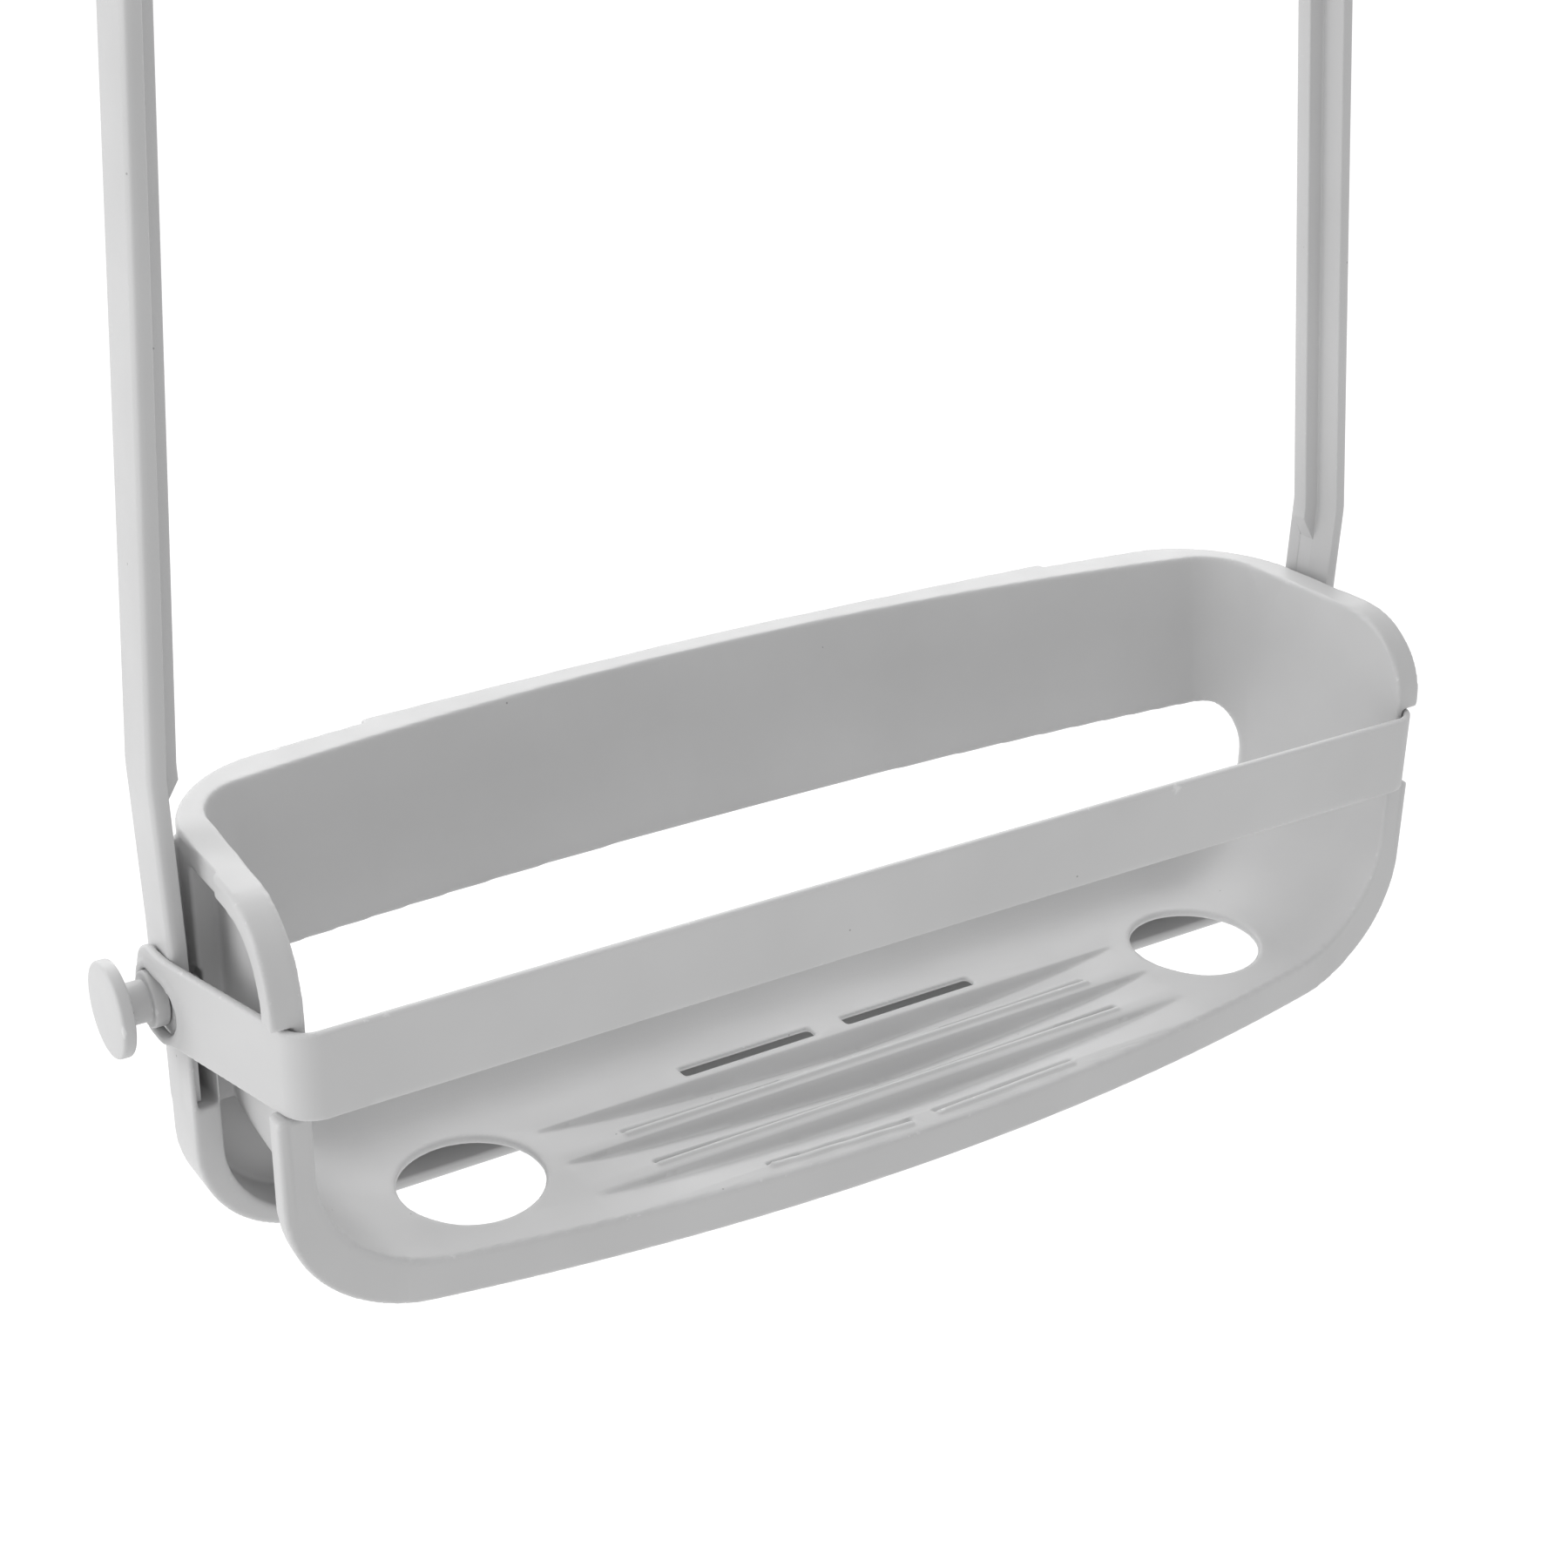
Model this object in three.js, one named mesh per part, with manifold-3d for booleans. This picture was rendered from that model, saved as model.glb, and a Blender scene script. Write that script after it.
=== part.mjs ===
// A hanging shower caddy: two scoop-shaped trays clipped between two ribbon arms,
// which rise to a hanger that grips a shower pipe. Each tray has a flexible band
// across its mouth, buttoned over a hook knob at each side.
// Millimetres, +Z up, front of the trays towards -Y. The trays are drawn with their
// floor at z = 0 and the finished group is moved so that the origin is the middle
// of the hanger's ring.
import * as THREE from "three";
import { mergeVertices } from "three/addons/utils/BufferGeometryUtils.js";
import Module from "manifold-3d";

const wasm = await Module();
wasm.setup();

// ---- driving dimensions ----
const gap = 0.3;                 // clearance between pieces that touch

// lower tray, half-widths measured from the middle of the tray
const rimHalfWidth = 147.6;      // rim at the front corners
const flangeHalfWidth = 146.9;   // rim beside the arms
const wallHalfWidth = 141.9;     // outside of the side walls, beside the arms
const wall = 2.4;                // moulding thickness
const wallFlare = 0.055;         // how much each side wall opens towards the front, per mm
const floorCorner = 27;          // radius where a side wall turns into the floor
const trayHeight = 81;           // floor to the top of the rim
const lipDrop = 10.4;            // the rim's bottom edge below the floor
const lipHeight = 9;             // height of the rim's face along the bottom edge
const rimThickness = 4.5;
const apronBack = -8;            // the floor dips from here to the lip
const apronSlope = 0.05;
const mouthFront = -18.5;        // front plane of the rim at the corners
const mouthBow = 14.9;           // how far the middle of the front edge stands forward
const mouthCorner = 20;          // radius where the rim's top turns down to the front
const backTop = 62;              // outside of the rim along the back
const flangeWidth = 4;           // how far the rim stands out from the back wall
const backSlope = 0.31;          // the back wall leans, mm back per mm up
const backBow = 8;               // how far the back's middle stands behind its ends
const rearCorner = 27;           // plan radius of the rear corners
const backFoot = 12;             // radius where the floor turns up into the back
const hangLedge = 2.2;           // extra width of the rim between its two rear steps
const ledgeHalfWidth = 93;
const windowHalfWidth = 132;     // opening in the back wall
const windowLow = 14;
const windowHigh = 43;
const windowCorner = 13;
const holeRadius = 16;
const holeSpacing = 200;
const slotWidth = 3.3;
const slotLength = 36;
const slotMiddle = 22;           // from the tray's middle to a slot's middle
const slotPlace = 12.9;          // how far back the slots lie

// arms
const armOut = 154.2;            // outer face beside the lower tray
const armFront = 18.8;
const armDepth = 14;
const armThick = 3.7;            // thickness along the front edge
const armRear = 4.9;             // thickness along the rear edge
const ribBase = 4.2;             // thickness where the rib starts
const ribOut = 8.6;              // inner face of the stiffening rib, from the arm's outer face
const ribFront = 6.2;
const ribBack = 10.6;
const ribLow = 88.5;             // lower end of a rib, above a tray's floor
const ribSlope = 5.3;            // height over which a rib's end slopes away
const ribHigh = -18;             // upper end of the lower rib, from the upper tray's floor
const armBend = 98;              // height of the bend above a tray's floor
const armLow = 23.5;             // lower end of an arm's tongue
const socketTop = 39;            // top of the tray's socket
const armLean = 0.05;            // mm back per mm up
const armTaper = 0.0725;         // mm inwards per mm up
const railSetback = 2.7;         // the tray's rail, behind the arm's front
const railLow = -13.1;
const webLow = 20;               // foot of the block that ties a side wall to its arm
const tongueOuter = 1.9;         // the tongue's outer face, from the arm's
const tongueFront = 3.4;
const tongueBack = 11.6;

// upper tray: the same moulding, narrower and shallower
const upperFloor = 300;
const straightRise = upperFloor + armLow - armBend;
const upperInset = armTaper * straightRise;
const upperBack = armLean * straightRise;

// hanger
const neckHeight = 588;          // top of the arms
const neckHalf = 13;             // outer face of an arm at the neck
const ringHeight = 632;          // middle of the ring
const ringInner = 14.5;
const ringThick = 5;
const gripThick = 3;
const ringOpening = 0.62;         // half angle left open at the ring's bottom
const hangerBack = upperBack + armLean * (neckHeight - upperFloor - armBend);

// band and knobs
const bandHeight = 19.4;
const bandThick = 1.8;
const bandMiddle = 49.7;         // height of the band's centreline
const bandFront = -22.1;
const bandCorner = 5;
const bandHalfWidth = 146.8;
const knobY = armFront + 7.4;
const knobHeight = 48.4;
const collarRadius = 6;
const shaftRadius = 4.4;
const shankRadius = 3;
const barbRadius = 3.7;
const discRadius = 10.2;
const discFace = 11.8;           // disc's outer face, from the arm's outer face
const discThick = 3;
const collarLength = 3.4;

// ---- solids ----
function toManifold(geometry) {
  const bare = geometry.clone();
  bare.deleteAttribute("normal");
  bare.deleteAttribute("uv");
  const merged = mergeVertices(bare, 1e-4);
  return new wasm.Manifold(new wasm.Mesh({
    numProp: 3,
    vertProperties: new Float32Array(merged.attributes.position.array),
    triVerts: new Uint32Array(merged.index.array),
  }));
}

function toGeometry(solid) {
  const mesh = solid.getMesh();
  const geometry = new THREE.BufferGeometry();
  geometry.setAttribute("position", new THREE.BufferAttribute(new Float32Array(mesh.vertProperties), 3));
  geometry.setIndex(new THREE.BufferAttribute(new Uint32Array(mesh.triVerts), 1));
  const flat = geometry.toNonIndexed();
  flat.computeVertexNormals();
  return flat;
}

// A flat outline extruded along Z, then turned so that the outline lies in XY, XZ or YZ.
function slab(shape, low, high, plane = "XY", segments = 8) {
  const geometry = new THREE.ExtrudeGeometry(shape, {
    depth: high - low, bevelEnabled: false, curveSegments: segments,
  });
  geometry.translate(0, 0, low);
  const turn = new THREE.Matrix4();
  if (plane === "XZ") turn.makeBasis(axis(1, 0, 0), axis(0, 0, 1), axis(0, -1, 0));
  if (plane === "YZ") turn.makeBasis(axis(0, 1, 0), axis(0, 0, 1), axis(1, 0, 0));
  geometry.applyMatrix4(turn);
  return geometry;
}

function axis(x, y, z) {
  return new THREE.Vector3(x, y, z);
}

// Between two heights in Y, for an outline drawn in X and Z.
function along(shape, frontY, backY, segments = 8) {
  return slab(shape, -backY, -frontY, "XZ", segments);
}

function warp(geometry, move) {
  const position = geometry.attributes.position;
  const point = new THREE.Vector3();
  for (let i = 0; i < position.count; i += 1) {
    point.fromBufferAttribute(position, i);
    move(point);
    position.setXYZ(i, point.x, point.y, point.z);
  }
  return geometry;
}

function roundedRect(x0, y0, x1, y1, radius) {
  const shape = new THREE.Shape();
  shape.moveTo(x0 + radius, y0);
  shape.lineTo(x1 - radius, y0);
  shape.absarc(x1 - radius, y0 + radius, radius, -Math.PI / 2, 0);
  shape.lineTo(x1, y1 - radius);
  shape.absarc(x1 - radius, y1 - radius, radius, 0, Math.PI / 2);
  shape.lineTo(x0 + radius, y1);
  shape.absarc(x0 + radius, y1 - radius, radius, Math.PI / 2, Math.PI);
  shape.lineTo(x0, y0 + radius);
  shape.absarc(x0 + radius, y0 + radius, radius, Math.PI, Math.PI * 1.5);
  return shape;
}

// A U open at the top: straight sides, rounded bottom corners. Drawn in X and Z.
function uOutline(half, bottom, top, radius) {
  const shape = new THREE.Shape();
  shape.moveTo(-half, top);
  shape.lineTo(-half, bottom + radius);
  shape.absarc(-half + radius, bottom + radius, radius, Math.PI, Math.PI * 1.5);
  shape.lineTo(half - radius, bottom);
  shape.absarc(half - radius, bottom + radius, radius, -Math.PI / 2, 0);
  shape.lineTo(half, top);
  return shape;
}

// Plan of the tray at the height of the rim: bowed back, rounded rear corners.
// The front runs past the mouth, which other solids cut.
function planOutline(half, back, front, radius) {
  const endY = back - backBow;
  const turn = Math.PI * 0.46;
  const meetX = half - radius + radius * Math.cos(turn);
  const meetY = endY - radius + radius * Math.sin(turn);
  const shape = new THREE.Shape();
  shape.moveTo(-half, front);
  shape.lineTo(half, front);
  shape.lineTo(half, endY - radius);
  shape.absarc(half - radius, endY - radius, radius, 0, turn);
  shape.quadraticCurveTo(0, back + backBow * 0.9, -meetX, meetY);
  shape.absarc(-half + radius, endY - radius, radius, Math.PI - turn, Math.PI);
  return shape;
}

// Plan of the mouth's front edge: a shallow arc in the middle, straight near the corners.
// Runs back to `behind`.
function frontOutline(half, forward, behind) {
  const shape = new THREE.Shape();
  shape.moveTo(half, behind);
  shape.lineTo(-half, behind);
  shape.lineTo(-half, forward + 5);
  shape.quadraticCurveTo(-half, forward, -half + 6, forward);
  shape.lineTo(-half * 0.76, forward);
  shape.quadraticCurveTo(0, forward - 2 * mouthBow, half * 0.76, forward);
  shape.lineTo(half - 6, forward);
  shape.quadraticCurveTo(half, forward, half, forward + 5);
  return shape;
}

// Side view of the tray: the floor turns up into the leaning back wall. Drawn in Y and Z.
function sideOutline(backAtTop, bottom, top, radius) {
  const backAtFloor = backAtTop - backSlope * (trayHeight - bottom);
  const shape = new THREE.Shape();
  shape.moveTo(-60, bottom);
  shape.lineTo(backAtFloor - radius, bottom);
  shape.quadraticCurveTo(backAtFloor + 1, bottom, backAtFloor + backSlope * radius, bottom + radius);
  shape.lineTo(backAtTop + backSlope * (top - trayHeight), top);
  shape.lineTo(-60, top);
  return shape;
}

// Side walls open slightly towards the front.
function flareOut(point) {
  point.x *= 1 + (wallFlare * (armFront - point.y)) / wallHalfWidth;
}

// The leaning back carries the rear corners with it.
function leanBack(point) {
  point.y += backSlope * (point.z - trayHeight);
}

// One body of the tray's hollow or of its outside, `inset` inside the outer skin.
function trayBlock(half, inset, bottom, top) {
  const wallBack = backTop - flangeWidth - inset;
  const across = uOutline(half - inset, bottom, top, floorCorner - inset);
  const walls = toManifold(warp(along(across, -60, 90), flareOut));
  const side = toManifold(slab(sideOutline(wallBack, bottom, top, backFoot - inset), -200, 200, "YZ"));
  const plan = toManifold(warp(slab(
    planOutline(half - inset + 3, wallBack, -60, rearCorner - inset), bottom, top,
  ), leanBack));
  return walls.intersect(side).intersect(plan);
}

// The flange that runs right round the mouth.
function rim(half, flangeHalf) {
  const topSlab = toManifold(slab(
    planOutline(flangeHalf, backTop, mouthFront + mouthCorner, rearCorner + 3),
    trayHeight - rimThickness, trayHeight,
  ));
  const ledge = toManifold(slab(
    roundedRect(-ledgeHalfWidth, backTop - 9, ledgeHalfWidth, backTop + 6, 1.5),
    trayHeight - rimThickness, trayHeight,
  )).intersect(toManifold(slab(
    planOutline(flangeHalf, backTop + hangLedge, 0, rearCorner), 0, trayHeight,
  )));
  const turn = new THREE.Shape();
  const centreZ = trayHeight - mouthCorner;
  const centreY = mouthFront + mouthCorner;
  turn.moveTo(centreY + 1, trayHeight);
  turn.lineTo(centreY, trayHeight);
  turn.absarc(centreY, centreZ, mouthCorner, Math.PI / 2, Math.PI);
  turn.lineTo(mouthFront, centreZ - 1);
  turn.lineTo(mouthFront + rimThickness, centreZ - 1);
  turn.absarc(centreY, centreZ, mouthCorner - rimThickness, Math.PI, Math.PI / 2, true);
  turn.lineTo(centreY + 1, trayHeight - rimThickness);
  const arcs = toManifold(slab(turn, -half, half, "YZ", 10));
  const strip = toManifold(slab(frontOutline(half, mouthFront, 10), -lipDrop, centreZ))
    .subtract(toManifold(slab(
      frontOutline(half + 20, mouthFront + rimThickness, 30), -lipDrop - 1, centreZ + 1,
    )));
  const corners = toManifold(slab(roundedRect(-half, mouthFront - 30, half, 20, 6), -20, trayHeight + 1));
  const face = toManifold(warp(along(
    uOutline(flangeHalf - 0.2, -lipDrop, trayHeight + 1, floorCorner + 3), -60, 5,
  ), (point) => {
    if (point.y < 0) point.x *= 1 + ((half - flangeHalf) / flangeHalf) * 1.6;
  }));
  return topSlab.add(ledge).add(arcs.add(strip).intersect(face).intersect(corners));
}

// Side view of the apron where the floor dips to the lip; `lift` moves its top up.
function apronOutline(low, lift) {
  const shape = new THREE.Shape();
  shape.moveTo(apronBack, low);
  shape.lineTo(apronBack, lift);
  shape.lineTo(-60, lift - (60 + apronBack) * apronSlope);
  shape.lineTo(-60, low - (60 + apronBack) * apronSlope);
  return shape;
}

// The mouth's hollow, which also opens the front down to the lip.
function mouthHollow(half) {
  const cavity = trayBlock(half, wall, 0, trayHeight + 5);
  const front = toManifold(warp(along(
    uOutline(half - wall, lipHeight - lipDrop, trayHeight + 5, floorCorner), -60, apronBack + 1,
  ), flareOut));
  const aboveApron = new THREE.Shape();
  aboveApron.moveTo(apronBack + 1, 0);
  aboveApron.lineTo(-60, -(60 + apronBack) * apronSlope);
  aboveApron.lineTo(-60, trayHeight + 5);
  aboveApron.lineTo(apronBack + 1, trayHeight + 5);
  return cavity.add(front.intersect(toManifold(slab(aboveApron, -200, 200, "YZ"))));
}

// The thickness under the dip.
function apron(half, inset) {
  const inside = toManifold(warp(along(
    uOutline(half, lipHeight - lipDrop - wall, 40, floorCorner), -60, apronBack,
  ), flareOut));
  const plan = toManifold(slab(frontOutline(rimHalfWidth - inset, mouthFront + 1, 0), -20, 40));
  return inside.intersect(plan).intersect(toManifold(slab(apronOutline(-wall, 0), -200, 200, "YZ")));
}

// The two notches in the rim's front edges where the band lies.
function bandNotches(inset) {
  const low = bandMiddle - bandHeight / 2 - 0.4;
  const high = bandMiddle + bandHeight / 2 + 0.4;
  const half = bandHalfWidth - bandThick - gap - inset;
  const outside = toManifold(slab(roundedRect(-half - 30, -70, half + 30, 4, 1), low, high));
  const kept = toManifold(slab(
    roundedRect(-half, bandFront + bandThick + gap, half, 60, bandCorner - bandThick), low - 1, high + 1,
  ));
  return outside.subtract(kept);
}

// The rail behind and under the tray, with its rear web. On the lower tray its ends
// are sockets that the arms' tongues slide into; on the upper tray the arms pass outside it.
function armChannel(trayHalf, armFace, armEndsHere) {
  const outer = armEndsHere ? armFace : armFace - armRear - gap;
  const back = armFront + armDepth;
  const railWidth = 6.1;
  const railDeep = 2.7;
  const webInset = 1.6;
  const blockDepth = 7.8;
  const rail = toManifold(along(uOutline(outer, railLow, socketTop, 25), armFront + railSetback, back))
    .subtract(toManifold(along(uOutline(outer - railWidth, railLow + railDeep, socketTop + 1, 22), 0, 60)));
  const web = toManifold(along(uOutline(outer - 2, railLow + webInset, trayHeight - 2, 24), back - 2, back))
    .subtract(toManifold(warp(along(
      uOutline(trayHalf - 1.2, -1.2, trayHeight + 5, floorCorner - 1), 0, 60,
    ), flareOut)));
  const channel = rail.add(web);
  if (!armEndsHere) return channel;
  const block = toManifold(along(
    roundedRect(trayHalf - 3, webLow, outer, trayHeight - rimThickness + 1, 0.5), back - blockDepth, back,
  ));
  const pocket = toManifold(along(
    roundedRect(outer - 7, armLow - gap, outer - tongueOuter + gap, socketTop + 1, 0.5), 0, back - 2,
  ));
  const armSpace = toManifold(along(
    roundedRect(outer - armRear - gap, socketTop, outer + 5, trayHeight + 20, 0.2), 0, 60,
  ));
  const shankRoom = new THREE.CylinderGeometry(barbRadius + gap, barbRadius + gap, 8, 24);
  shankRoom.rotateZ(Math.PI / 2);
  shankRoom.translate(outer - armRear, knobY, knobHeight);
  const cut = pocket.add(armSpace).add(toManifold(shankRoom));
  return channel.add(block).add(block.mirror([1, 0, 0])).subtract(cut).subtract(cut.mirror([1, 0, 0]));
}

function tray(inset, armEndsHere) {
  const half = wallHalfWidth - inset;
  const skin = trayBlock(half, 0, -wall, trayHeight - 1);
  const frontCut = toManifold(slab(frontOutline(rimHalfWidth - inset, mouthFront + 1, 90), -30, 120));
  const sideCut = toManifold(slab(mouthProfile(), -200, 200, "YZ", 10));
  let solid = skin.intersect(frontCut).intersect(sideCut);
  solid = solid.add(rim(rimHalfWidth - inset, flangeHalfWidth - inset));
  solid = solid.add(apron(half, inset));
  solid = solid.add(armChannel(half, armOut - inset, armEndsHere));
  solid = solid.subtract(mouthHollow(half));
  solid = solid.subtract(bandNotches(inset));
  const windowHalf = windowHalfWidth - inset;
  const window = roundedRect(-windowHalf, windowLow, windowHalf, windowHigh, windowCorner);
  solid = solid.subtract(toManifold(along(window, 22, 90)));
  const holeX = holeSpacing / 2 - inset * 0.6;
  for (const side of [-1, 1]) {
    const hole = new THREE.CylinderGeometry(holeRadius, holeRadius, 8, 24);
    hole.rotateX(Math.PI / 2);
    hole.translate(side * holeX, 0, 0);
    solid = solid.subtract(toManifold(hole));
    const slotHalf = slotLength / 2;
    const slot = slab(roundedRect(-slotHalf, -slotWidth / 2, slotHalf, slotWidth / 2, 0.8), -6, 6, "XY", 4);
    slot.translate(side * slotMiddle, slotPlace, 0);
    solid = solid.subtract(toManifold(slot));
  }
  return solid;
}

// Side view of everything behind the mouth, so that the skin ends under the rim.
function mouthProfile() {
  const shape = new THREE.Shape();
  shape.moveTo(90, -30);
  shape.lineTo(mouthFront - 30, -30);
  shape.lineTo(mouthFront - 30, 0);
  shape.lineTo(mouthFront + 1, 0);
  shape.lineTo(mouthFront + 1, trayHeight - mouthCorner);
  const centreZ = trayHeight - mouthCorner;
  shape.absarc(mouthFront + mouthCorner, centreZ, mouthCorner - 1, Math.PI, Math.PI / 2, true);
  shape.lineTo(90, trayHeight - 1);
  return shape;
}

// ---- ribbon arms ----
function outlineOf(section) {
  return section.map(([x, y]) => new THREE.Vector2(x, y));
}

// Joins sections along a path in X and Z. A section point is [inwards, back].
function ribbon(path, sections, lean) {
  const count = sections[0].length;
  const positions = [];
  const index = [];
  path.forEach((point, i) => {
    const before = path[Math.max(i - 1, 0)];
    const after = path[Math.min(i + 1, path.length - 1)];
    const tangent = new THREE.Vector2().subVectors(after, before).normalize();
    for (const [inwards, back] of sections[i]) {
      const x = point.x - tangent.y * inwards;
      const z = point.y + tangent.x * inwards;
      positions.push(x, armFront + back + lean(point.y), z);
    }
  });
  for (let i = 0; i + 1 < path.length; i += 1) {
    for (let j = 0; j < count; j += 1) {
      const a = i * count + j;
      const b = i * count + ((j + 1) % count);
      index.push(a, b, a + count);
      index.push(b, b + count, a + count);
    }
  }
  const last = (path.length - 1) * count;
  const forward = THREE.ShapeUtils.area(outlineOf(sections[0])) > 0;
  for (const [a, b, c] of THREE.ShapeUtils.triangulateShape(outlineOf(sections[0]), [])) {
    const ring = forward ? [a, c, b] : [a, b, c];
    index.push(...ring);
    index.push(last + ring[2], last + ring[1], last + ring[0]);
  }
  const geometry = new THREE.BufferGeometry();
  geometry.setAttribute("position", new THREE.BufferAttribute(new Float32Array(positions), 3));
  geometry.setIndex(index);
  const solid = toManifold(geometry);
  return solid.volume() > 0 ? solid : toManifold(flip(geometry));
}

function flip(geometry) {
  const array = geometry.index.array;
  for (let i = 0; i < array.length; i += 3) {
    [array[i], array[i + 1]] = [array[i + 1], array[i]];
  }
  return geometry;
}

// How far back an arm stands at a height, next to its place beside the lower tray.
function leanAt(height) {
  const first = Math.min(Math.max(height - armBend, 0), straightRise);
  const second = Math.max(height - upperFloor - armBend, 0);
  return armLean * (first + second);
}

// Outer face of the right arm, from the socket up to the neck. `rib` is 0 where the arm
// is a plain ribbon and 1 where its stiffening rib has its full height.
function armStations() {
  const upperOut = armOut - upperInset;
  const shoulder = upperFloor + armBend;
  const stations = [];
  const station = (x, z, rib) => stations.push({ point: new THREE.Vector2(x, z), rib });
  const between = (z) => armOut - armTaper * (z - armBend);
  station(armOut, socketTop + gap, 0);
  station(armOut, ribLow, 0);
  station(armOut, ribLow + ribSlope, 1);
  station(armOut, armBend, 1);
  station(between(upperFloor + ribHigh - ribSlope), upperFloor + ribHigh - ribSlope, 1);
  station(between(upperFloor + ribHigh), upperFloor + ribHigh, 0);
  station(upperOut, upperFloor + armLow, 0);
  station(upperOut, upperFloor + ribLow, 0);
  station(upperOut, upperFloor + ribLow + ribSlope, 1);
  const sweep = new THREE.CubicBezierCurve(
    new THREE.Vector2(upperOut, shoulder),
    new THREE.Vector2(upperOut - 8, shoulder + 95),
    new THREE.Vector2(neckHalf, neckHeight - 75),
    new THREE.Vector2(neckHalf, neckHeight),
  );
  const steps = 18;
  const ribSteps = 14;
  sweep.getPoints(steps).forEach((point, i) => stations.push({ point, rib: i > ribSteps ? 0 : 1 }));
  return stations;
}

// A flat ribbon with a chamfered front edge and a rib inside.
function armSection(rib) {
  const faint = 0.05;
  const out = ribBase + (ribOut - ribBase) * Math.max(rib, faint);
  return [
    [0, 1.4], [1.6, 0], [armThick, 0], [ribBase, ribFront], [out, ribFront],
    [out, ribBack], [ribBase, ribBack], [armRear, armDepth], [0, armDepth],
  ];
}

function arm() {
  const stations = armStations();
  const path = stations.map((station) => station.point);
  let solid = ribbon(path, stations.map((station) => armSection(station.rib)), leanAt);
  const tongueSection = [
    [tongueOuter, tongueFront], [armThick, tongueFront], [armThick, tongueBack], [tongueOuter, tongueBack],
  ];
  const tonguePath = [new THREE.Vector2(armOut, armLow), new THREE.Vector2(armOut, socketTop + 2)];
  solid = solid.add(ribbon(tonguePath, [tongueSection, tongueSection], leanAt));
  for (const [floor, inset, back] of [[0, 0, 0], [upperFloor, upperInset, upperBack]]) {
    const bore = new THREE.CylinderGeometry(shankRadius + gap, shankRadius + gap, 30, 24);
    bore.rotateZ(Math.PI / 2);
    bore.translate(armOut - inset, knobY + back, floor + knobHeight);
    solid = solid.subtract(toManifold(bore));
  }
  return solid;
}

// ---- hanger ----
function ringSector(inner, outer, openHalfAngle) {
  const start = -Math.PI / 2 + openHalfAngle;
  const end = Math.PI * 1.5 - openHalfAngle;
  const shape = new THREE.Shape();
  shape.absarc(0, ringHeight, outer, start, end);
  shape.absarc(0, ringHeight, inner, end, start, true);
  return shape;
}

function hanger() {
  const low = armFront + hangerBack;
  const outer = ringInner + gripThick + gap + ringThick;
  const ring = toManifold(along(ringSector(outer - ringThick, outer, ringOpening), low, low + armDepth, 18));
  const legTop = ringHeight - ringInner - 1;
  const legInner = neckHalf - armRear - 2.6;
  const leg = toManifold(along(
    roundedRect(legInner, neckHeight + gap, neckHalf + 0.6, legTop, 0.5), low, low + armDepth,
  ));
  const tongueOutline = roundedRect(legInner, neckHeight - 22, neckHalf - armRear - gap, neckHeight + 4, 0.5);
  const tongue = toManifold(along(tongueOutline, low, low + armDepth));
  const side = leg.add(tongue);
  return ring.add(side).add(side.mirror([1, 0, 0]));
}

function grip() {
  const low = armFront + hangerBack;
  const sector = ringSector(ringInner, ringInner + gripThick, ringOpening + 0.1);
  return toManifold(along(sector, low - 1, low + armDepth + 1, 18));
}

// ---- band ----
// Centreline in plan from the eyelet to the middle of the front.
function bandOutline(half, outer, offset) {
  const outX = outer + bandThick / 2 + gap + offset;
  const frontY = bandFront + bandThick / 2 - offset;
  const radius = bandCorner + offset;
  const cornerX = half - bandThick / 2 + offset;
  return { outX, frontY, radius, cornerX };
}

function bandPlan(half, outer) {
  const shape = new THREE.Shape();
  const outside = bandOutline(half, outer, bandThick / 2);
  const inside = bandOutline(half, outer, -bandThick / 2);
  const endY = knobY + 11;
  const bendY = armFront + 0.7;
  shape.moveTo(outside.outX, endY);
  shape.lineTo(outside.outX, bendY);
  shape.lineTo(outside.cornerX, outside.frontY + outside.radius);
  shape.quadraticCurveTo(outside.cornerX, outside.frontY, outside.cornerX - outside.radius, outside.frontY);
  shape.lineTo(-outside.cornerX + outside.radius, outside.frontY);
  shape.quadraticCurveTo(-outside.cornerX, outside.frontY, -outside.cornerX, outside.frontY + outside.radius);
  shape.lineTo(-outside.outX, bendY);
  shape.lineTo(-outside.outX, endY);
  shape.lineTo(-inside.outX, endY);
  shape.lineTo(-inside.outX, bendY);
  shape.lineTo(-inside.cornerX, inside.frontY + inside.radius);
  shape.quadraticCurveTo(-inside.cornerX, inside.frontY, -inside.cornerX + inside.radius, inside.frontY);
  shape.lineTo(inside.cornerX - inside.radius, inside.frontY);
  shape.quadraticCurveTo(inside.cornerX, inside.frontY, inside.cornerX, inside.frontY + inside.radius);
  shape.lineTo(inside.outX, bendY);
  shape.lineTo(inside.outX, endY);
  return shape;
}

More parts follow.
